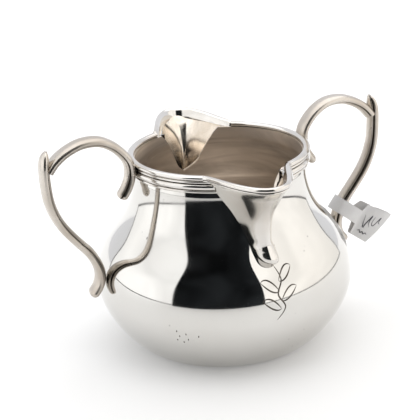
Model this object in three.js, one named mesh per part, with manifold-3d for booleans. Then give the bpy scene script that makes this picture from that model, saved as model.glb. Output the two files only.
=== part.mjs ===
// A silver bowl with two scroll handles and a pouring lip at the front and at the back,
// with a paper price label looped round the right handle.
// Millimetres, +Z up. The origin is the centre of the flat base, X runs along the handles
// and the front lip points to -Y. The bowl is the same after half a turn about Z.

import * as THREE from 'three';
import { mergeVertices } from 'three/addons/utils/BufferGeometryUtils.js';
import Module from 'manifold-3d';

const wasm = await Module();
wasm.setup();

const GAP = 0.3; // left between pieces that are soldered together on the real bowl
const HALF_TURN = Math.PI;
const toRadians = THREE.MathUtils.degToRad;

// Body: a spun silver vessel.
const WALL = 1.2;
const BASE_RADIUS = 35.8;
const BASE_EDGE = 2.2; // how far the flat of the base runs on into the belly's curve
const BELLY_RADIUS = 50;
const BELLY_HEIGHT = 23.2;
const BELLY_FULLNESS_BELOW = 10;
const BELLY_FULLNESS_ABOVE = 24.7;
const NECK_RADIUS = 33.4;
const NECK_HEIGHT = 71.3;
const NECK_LENGTH = 29.2;
const BODY_TOP = 73.4;
const BODY_SEGMENTS = 48;
const LOWER_STEPS = 7;
const UPPER_STEPS = 11;

// Mouth: a wire on the edge of the wall, and a reeded band on its outside.
const RIM_INNER = NECK_RADIUS - WALL;
const RIM_OUTER = 35;
const RIM_BOTTOM = BODY_TOP + GAP;
const RIM_TOP = 75.3;
const RIM_BEVEL = 0.5;
const BAND_INNER = NECK_RADIUS + GAP;
const BAND_BOTTOM = 68.7;
const BAND_TOP = BODY_TOP;
const REEDS = [{ height: 1.1, bulge: 0.8 }, { height: 2.3, bulge: 1.2 }, { height: 1.1, bulge: 1.1 }];
const REED_GROOVE = 0.1; // height between two reeds
const BAND_STEPS = 18;
const BAND_REACH = toRadians(22); // from a lip's centre line, before the spout's seam cuts it

// Lips: sheet metal raised over a V cut in the wall.
const LIP_TWIST = toRadians(4.7); // the tip stands this far round from the foot of the spout
const LIP_RISE = 1;
const SPOUT_TIP = 55.2;
const LIP_HALF_WIDTH = 15;
const SPOUT_SHEET = 1.3;
const SPOUT_STEPS = 28;
const SECTION_STEPS = 16;
const BEHIND_SEAM = 8; // how far a spout's solid runs on behind its seam, through the wall
const LEAST_HALF_WIDTH = 0.2;
const RISE_POWER = 8; // the ridge rises to the lip only at its top end
const LIP_REACH = toRadians(29); // from the lip's centre line to where the mouth is round again
const LIP_SHOULDER = 3.5; // how far the lip's edge runs on along the round's tangent
const LIP_FULLNESS = 0.62; // share of the half width that the edge keeps beside the tip
const LIP_WIRE_WIDTH = 2.6;
const LIP_WIRE_HEIGHT = 2;
const LIP_WIRE_STEPS = 22;

// The front spout from its foot up, as (height, half width on the body, radius of its ridge, power
// of its section: 1 is round, less is more square and more is more pointed).
const SPOUT_LINE = [
  [43.9, LEAST_HALF_WIDTH, 45.7, 0.6],
  [44.5, 2.6, 46.4, 0.6],
  [46, 3.8, 46.5, 0.7],
  [49, 4.1, 45.7, 1],
  [52.5, 4.5, 45, 1.4],
  [61, 7.7, 46, 1.9],
  [70, 13.3, 51.5, 1.5],
  [BODY_TOP, LIP_HALF_WIDTH, SPOUT_TIP, 1.6],
];

// Edges of the V cut under the front lip, as (x, height), from its point up: it leans a little,
// and opens out below the mouth.
const CUT_POINT = [0.8, 55.6];
const CUT_LEFT = [[-2.1, 57.2], [-5.1, 59.8], [-7, 63.7], [-9, 67.3], [-11.5, 71.3], [-13.5, 73.6]];
const CUT_RIGHT = [[3.5, 58.3], [5, 61.5], [6.2, 64.5], [7.5, 67.4], [9.1, 70.5], [11.6, 73.6]];

// Handles: two castings each, soldered at the thumb-rest.
const HANDLE_WIDTH = 7.2;
const HANDLE_THICKNESS = 3.8;
const KEEL_WIDTH = 4.6;
const KEEL_BASE = 0.4; // of half the thickness, as the next two are
const KEEL_HEIGHT = 0.6;
const GROOVE_DEPTH = 0.25;
const GROOVE_WIDTH = 3.8;
const DOME_STEPS = 6;
const KEEL_STEPS = 4;
const SCROLL_END = 0.08; // share of the length over which an end is rounded off
const LEAF_LENGTH = 0.13; // share of the length over which the leaf narrows to its point
const BLUNT_END = 0.5; // size left at a rounded end
const BLUNT_LEAF = 0.16;
const HANDLE_STEPS = 24;

// Label: a paper strip with a narrow neck round the strap and a wide flag, cut on the slant.
const LABEL_PIVOT = new THREE.Vector2(53.1, 40.7);
const LABEL_SLOPE = toRadians(38); // the flag hangs down and out, square to the strap
const PAPER = 0.4;
const LABEL_NECK = 6;
const LOOP_BACK = 3;
const LOOP_SIDE = 4.6;
const LOOP_JOIN = 12;
const JOIN_SLANT = 3; // how much sooner the loop's hollow ends than its sides come in
const LOOP_STEPS = 7;
const LOOP_CURVE = 0.8; // of the half width, kept halfway to where the two sides join
const FLAG_CORNERS = [[11, -7.6], [19.2, -7.4], [25.7, 8.3], [11.5, 6.4]];

const silver = { color: 0xd9d6d0, roughness: 0.12, metalness: 1 };
const wornSilver = { color: 0xc8c0b4, roughness: 0.25, metalness: 1 };
const paper = { color: 0xe4e3df, roughness: 0.9, metalness: 0 };

// ---- Solids ----

function solidOf(geometry) {
  const bare = geometry.clone();
  bare.deleteAttribute('normal');
  bare.deleteAttribute('uv');
  const welded = mergeVertices(bare, 1e-4);
  return new wasm.Manifold(new wasm.Mesh({
    numProp: 3,
    vertProperties: new Float32Array(welded.attributes.position.array),
    triVerts: new Uint32Array(welded.index.array),
  }));
}

function geometryOf(solid) {
  const cut = solid.getMesh();
  const geometry = new THREE.BufferGeometry();
  geometry.setAttribute('position', new THREE.BufferAttribute(cut.vertProperties, 3));
  geometry.setIndex(new THREE.BufferAttribute(cut.triVerts, 1));
  geometry.computeVertexNormals();
  return geometry;
}

// Turns a closed profile of (radius, height) points about Z.
function revolve(profile) {
  const geometry = new THREE.LatheGeometry(profile, BODY_SEGMENTS);
  geometry.rotateX(Math.PI / 2);
  return geometry;
}

// Extrudes a flat outline, then carries each point (x, y, share of the length) to its place.
function warpedExtrusion(outline, steps, place) {
  const geometry = new THREE.ExtrudeGeometry(new THREE.Shape(outline), {
    depth: 1,
    steps,
    bevelEnabled: false,
  });
  const points = geometry.attributes.position;
  for (let i = 0; i < points.count; i += 1) {
    const target = place(points.getX(i), points.getY(i), points.getZ(i));
    points.setXYZ(i, target.x, target.y, target.z);
  }
  return geometry;
}

// ---- Body ----

function bellyCurve() {
  return new THREE.CubicBezierCurve(
    new THREE.Vector2(BASE_RADIUS, 0),
    new THREE.Vector2(BASE_RADIUS + BASE_EDGE, 0),
    new THREE.Vector2(BELLY_RADIUS, BELLY_HEIGHT - BELLY_FULLNESS_BELOW),
    new THREE.Vector2(BELLY_RADIUS, BELLY_HEIGHT),
  );
}

function neckCurve() {
  return new THREE.CubicBezierCurve(
    new THREE.Vector2(BELLY_RADIUS, BELLY_HEIGHT),
    new THREE.Vector2(BELLY_RADIUS, BELLY_HEIGHT + BELLY_FULLNESS_ABOVE),
    new THREE.Vector2(NECK_RADIUS, NECK_HEIGHT - NECK_LENGTH),
    new THREE.Vector2(NECK_RADIUS, NECK_HEIGHT),
  );
}

// Points of the body's side from base to neck, moved outwards by offset.
function sideProfile(offset) {
  const shifted = (curve, share) => {
    const along = curve.getTangent(share);
    return curve.getPoint(share).add(new THREE.Vector2(along.y, -along.x).multiplyScalar(offset));
  };
  const points = [];
  for (let i = 0; i < LOWER_STEPS; i += 1) points.push(shifted(bellyCurve(), i / LOWER_STEPS));
  for (let i = 0; i <= UPPER_STEPS; i += 1) points.push(shifted(neckCurve(), i / UPPER_STEPS));
  return points;
}

function bodyRadiusAt(height) {
  const side = sideProfile(0);
  const above = side.findIndex((point) => point.y > height);
  if (above < 0) return NECK_RADIUS;
  const [low, high] = [side[above - 1], side[above]];
  return THREE.MathUtils.mapLinear(height, low.y, high.y, low.x, high.x);
}

function wallSolid() {
  const inside = sideProfile(-WALL).reverse();
  const profile = [
    new THREE.Vector2(0, 0),
    ...sideProfile(0),
    new THREE.Vector2(NECK_RADIUS, BODY_TOP),
    new THREE.Vector2(NECK_RADIUS - WALL, BODY_TOP),
    ...inside,
    new THREE.Vector2(0, WALL),
  ];
  return solidOf(revolve(profile));
}

// The room that the body and a collar round its neck take up: other pieces are cut back from it.
function bodyClearance(collarRadius) {
  const collarBottom = BAND_BOTTOM - GAP;
  const collar = collarRadius + GAP;
  const profile = [
    new THREE.Vector2(0, -GAP),
    ...sideProfile(GAP).filter((point) => point.y < collarBottom),
    new THREE.Vector2(NECK_RADIUS + GAP, collarBottom),
    new THREE.Vector2(collar, collarBottom),
    new THREE.Vector2(collar, RIM_TOP + GAP),
    new THREE.Vector2(0, RIM_TOP + GAP),
  ];
  return solidOf(revolve(profile));
}

// ---- Spouts ----

// A closed D outline: a half circle from (1, 0) over (0, 1) to (-1, 0), with a block behind it.
function spoutSection() {
  const points = [];
  for (let i = 0; i <= SECTION_STEPS; i += 1) {
    const angle = HALF_TURN * i / SECTION_STEPS;
    points.push(new THREE.Vector2(Math.cos(angle), Math.sin(angle)));
  }
  points.push(new THREE.Vector2(-1, -1));
  points.push(new THREE.Vector2(1, -1));
  return points;
}

// The whole spout, or with grow the room that it takes up: its sides start on the seam where it
// meets the body and swell to the ridge, and behind the seam it runs through the wall. Its top can
// be lifted past the lip.
function spoutShape(grow, pastLip = 0) {
  const edges = new THREE.CatmullRomCurve3(
    SPOUT_LINE.map(([height, halfWidth, ridge]) => new THREE.Vector3(halfWidth, ridge, height)),
    false,
    'catmullrom',
  );
  const powers = new THREE.SplineCurve(
    SPOUT_LINE.map(([height, , , power]) => new THREE.Vector2(power, height)),
  );
  return solidOf(warpedExtrusion(spoutSection(), SPOUT_STEPS, (x, y, share) => {
    const { x: width, y: ridge, z: height } = edges.getPoint(share);
    const halfWidth = Math.max(width + grow, LEAST_HALF_WIDTH);
    const seamRadius = Math.sqrt(bodyRadiusAt(height) ** 2 - halfWidth ** 2);
    const swell = Math.max(y, 0) ** powers.getPoint(share).x;
    const front = Math.max(ridge + grow, seamRadius);
    const outwards = THREE.MathUtils.lerp(seamRadius, front, swell) + Math.min(y, 0) * BEHIND_SEAM;
    const rise = LIP_RISE * Math.max(y, 0) * share ** RISE_POWER;
    const past = share === 1 ? pastLip : 0;
    return new THREE.Vector3(-halfWidth * x, -outwards, height + rise + past)
      .applyAxisAngle(new THREE.Vector3(0, 0, 1), -LIP_TWIST * Math.sin(share * HALF_TURN / 2));
  }));
}

// The V cut in the wall under the front lip.
function wallCut() {
  const point = new THREE.Vector2(...CUT_POINT);
  const edge = (points) => new THREE.SplineCurve(
    [point, ...points.map(([x, z]) => new THREE.Vector2(x, z))],
  ).getPoints(points.length * 2);
  const left = edge(CUT_LEFT);
  const outline = new THREE.Shape([...left.reverse().slice(0, -1), ...edge(CUT_RIGHT)]);
  const cut = new THREE.ExtrudeGeometry(outline, { depth: NECK_RADIUS, bevelEnabled: false })
    .rotateX(Math.PI / 2)
    .translate(0, -NECK_RADIUS / 2, 0);
  return solidOf(cut);
}

function spoutGeometry() {
  const hollow = spoutShape(-SPOUT_SHEET, 2 * LIP_RISE);
  return geometryOf(spoutShape(0).subtract(bodyClearance(NECK_RADIUS)).subtract(hollow));
}

function bodyGeometry() {
  const frontCut = wallCut();
  const backCut = frontCut.rotate([0, 0, 180]);
  return geometryOf(wallSolid().subtract(frontCut).subtract(backCut));
}

// ---- Rim, bands and lip wires ----

// Carries an outline of (radius, height) points round the axis from one angle to another.
function sweepRound(outline, steps, from, to) {
  return warpedExtrusion(outline, steps, (radius, height, share) => {
    const angle = THREE.MathUtils.lerp(to, from, share);
    return new THREE.Vector3(radius * Math.cos(angle), radius * Math.sin(angle), height);
  });
}

// The left stretch of the mouth lies between the two lips.
const leftStart = HALF_TURN / 2 - LIP_TWIST + LIP_REACH;
const leftEnd = leftStart + HALF_TURN - 2 * LIP_REACH;

function rimWireGeometry() {
  const middle = (RIM_BOTTOM + RIM_TOP) / 2;
  const outline = [
    new THREE.Vector2(RIM_INNER, RIM_BOTTOM),
    new THREE.Vector2(RIM_OUTER - RIM_BEVEL, RIM_BOTTOM),
    new THREE.Vector2(RIM_OUTER, middle),
    new THREE.Vector2(RIM_OUTER - RIM_BEVEL, RIM_TOP),
    new THREE.Vector2(RIM_INNER + RIM_BEVEL, RIM_TOP),
    new THREE.Vector2(RIM_INNER, middle),
  ];
  const endGap = GAP / RIM_INNER;
  return sweepRound(outline, BAND_STEPS, leftStart + endGap, leftEnd - endGap);
}

// One broad reed between two narrow ones, with a groove on each side of it.
function bandGeometry() {
  const outline = [new THREE.Vector2(BAND_INNER, BAND_BOTTOM)];
  let bottom = BAND_BOTTOM;
  for (const { height, bulge } of REEDS) {
    outline.push(
      new THREE.Vector2(BAND_INNER + bulge / 2, bottom),
      new THREE.Vector2(BAND_INNER + bulge, bottom + height / 3),
      new THREE.Vector2(BAND_INNER + bulge, bottom + height * 2 / 3),
      new THREE.Vector2(BAND_INNER + bulge / 2, bottom + height),
    );
    bottom += height + REED_GROOVE;
  }
  outline.push(new THREE.Vector2(BAND_INNER, BAND_TOP));
  const more = LIP_REACH - BAND_REACH;
  const band = solidOf(sweepRound(outline, BAND_STEPS, leftStart - more, leftEnd + more));
  const frontSpout = spoutShape(GAP);
  const backSpout = frontSpout.rotate([0, 0, 180]);
  return geometryOf(band.subtract(frontSpout).subtract(backSpout));
}

// The mouth's line at the front lip, in plan: it leaves the round along its tangent.
function lipLine() {
  const middle = (RIM_INNER + RIM_OUTER) / 2;
  const start = new THREE.Vector3(middle * Math.sin(LIP_REACH), -middle * Math.cos(LIP_REACH), 0);
  const tangent = new THREE.Vector3(-Math.cos(LIP_REACH), -Math.sin(LIP_REACH), 0);
  const shoulder = start.clone().addScaledVector(tangent, LIP_SHOULDER);
  const tip = new THREE.Vector3(0, -SPOUT_TIP, LIP_RISE);
  const besideTip = new THREE.Vector3(LIP_HALF_WIDTH * LIP_FULLNESS, -SPOUT_TIP, LIP_RISE);
  const mirrored = (point) => new THREE.Vector3(-point.x, point.y, point.z);
  const line = new THREE.CurvePath();
  line.add(new THREE.CubicBezierCurve3(start, shoulder, besideTip, tip));
  line.add(new THREE.CubicBezierCurve3(tip, mirrored(besideTip), mirrored(shoulder), mirrored(start)));
  return line;
}

function lipWireGeometry() {
  const line = lipLine();
  const half = LIP_WIRE_WIDTH / 2;
  const flat = half - RIM_BEVEL;
  const top = LIP_WIRE_HEIGHT;
  const outline = [
    new THREE.Vector2(-half, top / 2),
    new THREE.Vector2(-flat, 0),
    new THREE.Vector2(flat, 0),
    new THREE.Vector2(half, top / 2),
    new THREE.Vector2(flat, top),
    new THREE.Vector2(-flat, top),
  ];
  const up = new THREE.Vector3(0, 0, 1);
  return warpedExtrusion(outline, LIP_WIRE_STEPS, (across, height, share) => {
    const along = line.getTangent(share).setZ(0).normalize();
    return line.getPoint(share)
      .addScaledVector(along.cross(up), -across)
      .addScaledVector(up, RIM_BOTTOM + height)
      .applyAxisAngle(up, -LIP_TWIST);
  });
}

// ---- Handles ----

// The casting's section: a broad dome outside and a narrow keel inside, with a groove between.
function handleSection(grow) {
  const half = HANDLE_THICKNESS / 2;
  const arc = (halfWidth, height, base, steps) => {
    const points = [];
    for (let i = 0; i <= steps; i += 1) {
      const angle = HALF_TURN * i / steps;
      points.push(new THREE.Vector2(halfWidth * Math.cos(angle), base + height * Math.sin(angle)));
    }
    return points;
  };
  const groove = GROOVE_WIDTH / 2 + grow;
  const dome = arc(HANDLE_WIDTH / 2 + grow, half + grow, 0, DOME_STEPS);
  const keel = arc(-KEEL_WIDTH / 2 - grow, -half * KEEL_HEIGHT - grow, -half * KEEL_BASE, KEEL_STEPS);
  return [
    ...dome,
    new THREE.Vector2(-groove, -half * GROOVE_DEPTH),
    ...keel,
    new THREE.Vector2(groove, -half * GROOVE_DEPTH),
  ];
}

// Rounds off an end: 1 inside the piece, falling as a quarter ellipse to the end itself.
function roundedEnd(distance, length, blunt) {
  if (distance >= length) return 1;
  return Math.max(blunt, Math.sqrt(1 - (1 - distance / length) ** 2));
}

// Bends the section along a line of (x, z) points, thinned at each share by thin(share).
function handlePiece(points, thin, grow = 0) {
  const line = new THREE.SplineCurve(points.map(([x, z]) => new THREE.Vector2(x, z)));
  return solidOf(warpedExtrusion(handleSection(grow), HANDLE_STEPS, (across, out, share) => {
    const centre = line.getPointAt(share);
    const along = line.getTangentAt(share);
    const size = thin(share);
    return new THREE.Vector3(
      centre.x - along.y * out * size,
      across * size,
      centre.y + along.x * out * size,
    );
  }));
}

// From the free scroll inside the handle, up past the rim and over the arch.
const upperScrollLine = [
  [41, 62.2], [38.2, 66.2], [36.6, 70.5], [36.6, 75], [38.6, 79], [42.6, 83],
  [47.8, 85.5], [54.2, 85.6], [60, 83.5], [64.2, 80.6], [67, 77.4],
];

// From the point of the leaf, down the strap to the curled foot below the belly's widest part.
const lowerScrollLine = [
  [67.1, 85.2], [68, 82], [68.4, 78], [68.4, 72], [67.8, 66], [66.1, 60.2], [63.2, 54.6],
  [58.9, 48.8], [54.6, 43.4], [51.9, 38], [51.1, 33.4], [52.2, 29.2], [55.2, 25.4],
];

function lowerScrollSolid(grow) {
  const thin = (share) => roundedEnd(share, LEAF_LENGTH, BLUNT_LEAF)
    * roundedEnd(1 - share, SCROLL_END / 2, BLUNT_END);
  return handlePiece(lowerScrollLine, thin, grow);
}

function upperScrollSolid() {
  const thin = (share) => roundedEnd(share, SCROLL_END, BLUNT_END);
  return handlePiece(upperScrollLine, thin);
}

// Everything outside the middle of the leaf, where the arch may not come out again.
function beyondLeaf() {
  const [, , [leafMiddle]] = lowerScrollLine;
  const size = 4 * HANDLE_WIDTH;
  return solidOf(new THREE.BoxGeometry(size, size, size).translate(leafMiddle + size / 2, 0, BODY_TOP));
}

// Both are modelled on the right, at +X.
const handleClearance = bodyClearance(RIM_OUTER);
const lowerScroll = geometryOf(lowerScrollSolid(0).subtract(handleClearance));
const upperScroll = geometryOf(
  upperScrollSolid().subtract(handleClearance).subtract(beyondLeaf()).subtract(lowerScrollSolid(GAP)),
);

// ---- Label ----

// The neck of the label, looped round the strap: an outline of (along the flag, across) points.
function loopOutline(inset) {
  const back = LOOP_BACK - inset;
  const side = LOOP_SIDE - inset;
  const join = LOOP_JOIN - JOIN_SLANT * inset;
  const outline = new THREE.Shape();
  outline.moveTo(join, 0);
  outline.bezierCurveTo(join / 2, side * LOOP_CURVE, side, side, 0, side);
  outline.absellipse(0, 0, back, side, Math.PI / 2, Math.PI * 1.5, false, 0);
  outline.bezierCurveTo(side, -side, join / 2, -side * LOOP_CURVE, join, 0);
  return outline.getPoints(LOOP_STEPS);
}

// The label is made flat: X along the flag, Y across the strap and Z along it. Then it is tilted
// and hung on the right handle's lower strap.
function labelGeometry() {
  const loop = (inset) => solidOf(
    new THREE.ExtrudeGeometry(new THREE.Shape(loopOutline(inset)), {
      depth: LABEL_NECK + 2 * inset,
      bevelEnabled: false,
    }).translate(0, 0, -LABEL_NECK / 2 - inset),
  );
  const flagOutline = new THREE.Shape(FLAG_CORNERS.map(([x, z]) => new THREE.Vector2(x, z)));
  const flag = solidOf(
    new THREE.ExtrudeGeometry(flagOutline, { depth: 2 * PAPER, bevelEnabled: false })
      .rotateX(Math.PI / 2)
      .translate(0, PAPER, 0),
  );
  return geometryOf(loop(0).subtract(loop(PAPER)).add(flag))
    .rotateY(LABEL_SLOPE)
    .translate(LABEL_PIVOT.x, 0, LABEL_PIVOT.y);
}

// ---- Assembly ----

const vessel = new THREE.Group();

function addPiece(name, geometry, look, turn = 0) {
  const piece = new THREE.Mesh(geometry, new THREE.MeshStandardMaterial(look));
  piece.name = name;
  piece.rotation.z = turn;
  vessel.add(piece);
}

addPiece('bowl_body', bodyGeometry(), silver);

const spout = spoutGeometry();
const lipWire = lipWireGeometry();
addPiece('front_spout', spout, silver);
addPiece('back_spout', spout.clone(), silver, HALF_TURN);
addPiece('front_lip_wire', lipWire, silver);
addPiece('back_lip_wire', lipWire.clone(), silver, HALF_TURN);

for (const [side, turn] of [['left', 0], ['right', HALF_TURN]]) {
  addPiece(`rim_wire_${side}`, rimWireGeometry(), silver, turn);
  addPiece(`reeded_band_${side}`, bandGeometry(), silver, turn);
}

for (const [side, turn] of [['right', 0], ['left', HALF_TURN]]) {
  addPiece(`${side}_handle_upper_scroll`, upperScroll.clone(), wornSilver, turn);
  addPiece(`${side}_handle_lower_scroll`, lowerScroll.clone(), wornSilver, turn);
}

addPiece('price_label', labelGeometry(), paper);

export default vessel;
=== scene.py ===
import math

import bmesh
import bpy
import numpy as np
from mathutils import Matrix, Vector


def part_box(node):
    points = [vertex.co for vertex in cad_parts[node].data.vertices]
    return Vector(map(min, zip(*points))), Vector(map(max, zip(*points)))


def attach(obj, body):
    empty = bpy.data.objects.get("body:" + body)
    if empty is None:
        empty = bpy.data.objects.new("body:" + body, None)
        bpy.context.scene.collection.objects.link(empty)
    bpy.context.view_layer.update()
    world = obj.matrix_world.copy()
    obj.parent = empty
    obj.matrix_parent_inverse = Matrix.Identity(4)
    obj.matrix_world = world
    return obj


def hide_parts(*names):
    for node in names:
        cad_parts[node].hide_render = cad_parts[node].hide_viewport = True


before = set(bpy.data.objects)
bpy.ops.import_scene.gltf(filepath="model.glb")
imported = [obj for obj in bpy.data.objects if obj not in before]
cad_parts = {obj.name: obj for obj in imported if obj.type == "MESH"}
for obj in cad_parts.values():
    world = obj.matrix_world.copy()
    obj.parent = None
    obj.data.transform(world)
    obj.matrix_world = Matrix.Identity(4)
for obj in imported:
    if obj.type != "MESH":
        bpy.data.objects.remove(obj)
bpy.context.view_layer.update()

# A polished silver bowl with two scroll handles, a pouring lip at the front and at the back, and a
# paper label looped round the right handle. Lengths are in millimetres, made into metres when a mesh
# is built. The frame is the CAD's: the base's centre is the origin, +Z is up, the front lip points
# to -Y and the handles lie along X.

MM = 0.001
UP = np.array([0.0, 0.0, 1.0])
HALF_TURN = math.pi
QUARTER_TURN = math.pi / 2
FRONT = -QUARTER_TURN


def node_top(node):
    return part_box(node)[1][2] / MM


# ---- Driving dimensions: body, rim and band ----

BELLY_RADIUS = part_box("bowl_body")[1][0] / MM
BODY_TOP = node_top("bowl_body")
RIM_TOP = node_top("rim_wire_left")
BAND_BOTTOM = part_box("reeded_band_left")[0][2] / MM

WALL = 1.2
BASE_RADIUS = 35.8
BASE_EDGE = 2.2
BELLY_HEIGHT = 23.2
FULLNESS_BELOW = 10.0
FULLNESS_ABOVE = 24.7
NECK_RADIUS = 33.4
NECK_HEIGHT = 71.3
NECK_LENGTH = 29.2
PINCH_BOTTOM = 67.4  # above this height the neck draws in a little towards the band
PINCH_DEPTH = 0.26
FLAT_RINGS = (0, 0.03, 0.3, 0.65, 0.98, 1)  # how far in towards the base's middle each ring lies

RIM_INNER = 32.2
RIM_OUTER = 35.0
RIM_MIDDLE = (RIM_INNER + RIM_OUTER) / 2
BAND_REACH = math.radians(21)
BAND_SINK = 0.2  # how far the band reaches into the neck

# The band's reeds from the bottom up: (start and end as shares of its height, depth).
REEDS = [(0, 0.23, 0.9), (0.27, 0.74, 1.5), (0.78, 1.0, 1.2)]
REED_POWER = 0.6  # 1 is round, less is more square
# The dark line beside a reed is painted shade.
GROOVE_SPREAD = 3  # the larger, the narrower the dark line beside a reed

# ---- Driving dimensions: lips and spouts ----

LIP_TWIST = math.radians(4.7)
LIP_REACH = math.radians(29)
LIP_RISE = 1.0
LIP_HALF_WIDTH = 15.0
LIP_SHOULDER = 3.5
LIP_FULLNESS = 0.62
LIP_SWELL = 0.25  # how much fuller the lip's wire is than the rim's
SWELL_POWER = 0.3  # the swell grows quickly from the wire's ends
SPREAD_POWER = 1.5  # the underside grows slowly from them
END_INSET = 0.12  # how much the lip's roll draws in at its ends, as a share
SPOUT_TIP_RADIUS = 55.2
SPOUT_SHEET = 1.3
LEAST_HALF_WIDTH = 0.15
RISE_POWER = 8  # the sheet rises to the lip's tip only near its top

# The lip's wire in section, as (outwards, height). Each bead is an oval's half width, half height,
# centre, and the angles where it starts and ends; the groove between the two is darkened by painted
# shade.
LIP_ROLL = [(-1.6, -1.4), (-1.4, -0.5), (-1.1, 0.4), (-0.5, 1.4), (0.3, 1.9)]
BROAD_BEAD = (0.95, 0.85, (0.45, 1.15), QUARTER_TURN, -0.5)
THIN_BEAD = (0.5, 0.32, (0.6, 0.28), 0.9, -QUARTER_TURN)
LIP_UNDERSIDE = [(-0.6, -0.1), (-1.6, -1.6)]

# The front spout from its foot up: (height, half width on the body, radius of its ridge, power of
# its section: 1 is round, less is more square and more is more pointed).
SPOUT_LINE = [(43.9, 0.2, 45.7, 0.6), (44.5, 2.6, 46.4, 0.6), (46, 3.8, 46.5, 0.7), (49, 4.1, 45.7, 1.0),
              (52.5, 4.5, 45.0, 1.4), (61, 7.7, 46.0, 1.9), (70, 13.3, 51.5, 1.5),
              (BODY_TOP, LIP_HALF_WIDTH, SPOUT_TIP_RADIUS, 1.6)]

# Edges of the V cut under the front lip, as (x, height), from its point up.
CUT_POINT = (0.8, 55.6)
CUT_LEFT = [(-2.1, 57.2), (-5.1, 59.8), (-7, 63.7), (-9, 67.3), (-11.5, 71.3), (-13.5, 73.6)]
CUT_RIGHT = [(3.5, 58.3), (5, 61.5), (6.2, 64.5), (7.5, 67.4), (9.1, 70.5), (11.6, 73.6)]

# ---- Driving dimensions: handles ----

HANDLE_HALF_WIDTH = 3.6
HANDLE_HALF_THICKNESS = 1.9
DOME_POWER = 0.75  # 1 is round, less is more square
KEEL_HALF_WIDTH = 2.3
KEEL_HALF_HEIGHT = 0.6 * HANDLE_HALF_THICKNESS
KEEL_SINK = 0.4 * HANDLE_HALF_THICKNESS

# The groove beside the keel on one side, as (across, outwards).
GROOVE = [(HANDLE_HALF_WIDTH - 0.35, -0.25 * HANDLE_HALF_THICKNESS), (1.9, -0.12 * HANDLE_HALF_THICKNESS)]

# Painted shade at the groove's points, and then at the keel's points from its edge inwards.
HANDLE_GROOVE_SHADE = [0.4, 1.0]
HANDLE_KEEL_SHADE = [0.75, 0.4, 0.15]

# Rounded ends: (length as a share of the piece, size left at the very end).
ARCH_TIP = (0.035, 0.05)
STRAP_LEAF = (0.1, 0.28)
STRAP_FOOT = (0.03, 0.05)

# Middle lines of the right handle's arch and strap, as (x, height).
ARCH_LINE = [(41, 62.2), (38.2, 66.2), (36.6, 70.5), (36.6, 75), (38.6, 79), (42.6, 83),
             (47.8, 85.5), (54.2, 85.6), (60, 83.5), (64.2, 80.6), (67, 77.4)]
STRAP_LINE = [(67.1, 85.2), (68, 82), (68.4, 78), (68.4, 72), (67.8, 66), (66.1, 60.2), (63.2, 54.6),
              (58.9, 48.8), (54.6, 43.4), (51.9, 38), (51.1, 33.4), (52.2, 29.2), (55.2, 25.4)]

# ---- Driving dimensions: label ----

LABEL_PIVOT = np.array([53.1, 0.0, 40.7])
LABEL_SLOPE = math.radians(38)
LABEL_THICKNESS = 0.2

# The paper's line seen along the strap: the front of the flag, the loop, and the flag's back.
FLAG_FRONT = [(25.6, -0.7), (21, -1.9), (16.5, -1.7), (12, -0.9), (8, -3.0)]
LABEL_LOOP = [(4, -4.4), (0, -4.5), (-2.2, -3.4), (-2.9, 0), (-2.2, 3.4), (0, 4.5), (4, 4.4)]
FLAG_BACK = [(8, 3.0), (12, 0.3), (16.5, 0.0), (21, 0.2), (25.2, 0.5)]

# The paper's lower and upper edges, as (along the flag, up the strap).
LOWER_EDGE = [(10.4, -3), (11.2, -7.6), (19.2, -7.4), (25.7, 7.6)]
UPPER_EDGE = [(10.4, 3), (11.6, 6.4), (25.7, 8.3)]
BACK_SHIFT = 2.2  # the back's upper edge lies this much nearer the loop than the front's
CURL = 0.014
CURL_START = 12
CURL_MIDDLE = 2
BACK_CURL = 0.4  # the back's curl as a share of the front's

# Pen strokes on the flag, as (along, up) lines: loose waves that spell nothing.
PEN_STROKES = [
    [(13.2, 2.6), (14.2, -1.4), (14.9, -2.6), (15.2, -0.6), (15.9, 1.8), (16.4, 3.4), (16.2, 0.4),
     (17.2, -1.4)],
    [(18.0, 3.9), (17.5, 1.2), (18.3, -0.2), (19.2, 1.0), (19.9, 3.0), (20.7, 4.6), (20.4, 2.4),
     (21.4, 2.0)],
    [(13.4, -4.9), (14.2, -4.3), (14.8, -5.1), (15.6, -4.4), (16.3, -5.0), (17.1, -4.2), (17.9, -4.7)],
]
PEN_WIDTH = 0.44
PEN_DEPTH = 0.12

# ---- Driving dimensions: ornament ----

SPRIG_HEIGHT = 33.4
SPRIG_WIDTH = 0.6
ENGRAVING_DEPTH = 0.035

# The sprig's stem as (round, height), and its leaves as (side, height of the root).
SPRIG_STEM = [(-2.2, -9.4), (1.4, -5), (-0.9, 0), (1.4, 4.8), (-0.2, 9.4)]
LEAVES = [(-1, -5.4), (1, -2.4), (-1, 1.0), (1, 4.4)]
SPRIG_ROOT = 0.2  # how far beside the stem's middle the leaves start
LEAF_LENGTH = 7.0
LEAF_RISE = 3.8
LEAF_BOWS = (3.2, -1.2)
LEAF_DROOP = 1.4
ROOT_PULL = 1.8
TIP_PULL = 2.2

# Small pits in the body, as (distance round from the front, height).
PITS = [(-39.4, 21.4), (-38.5, 19.3), (-39.6, 17.5), (-35.9, 20.4), (-35.3, 18.1), (-37.2, 16.7),
        (-31.2, 19.8), (-61, 50)]
PIT_RISES = (-0.5, -0.2, 0.1, 0.4)
PIT_WIDTH = 0.45

# ---- Stage and camera ----

WHITE = (1, 1, 1)
FLOOR_REACH = 6000.0
FLOOR_HEIGHT = -0.3
FLOOR_GREY = 0.86
FLOOR_GLOW = 0.14
FOOT_GREY = 0.22
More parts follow.
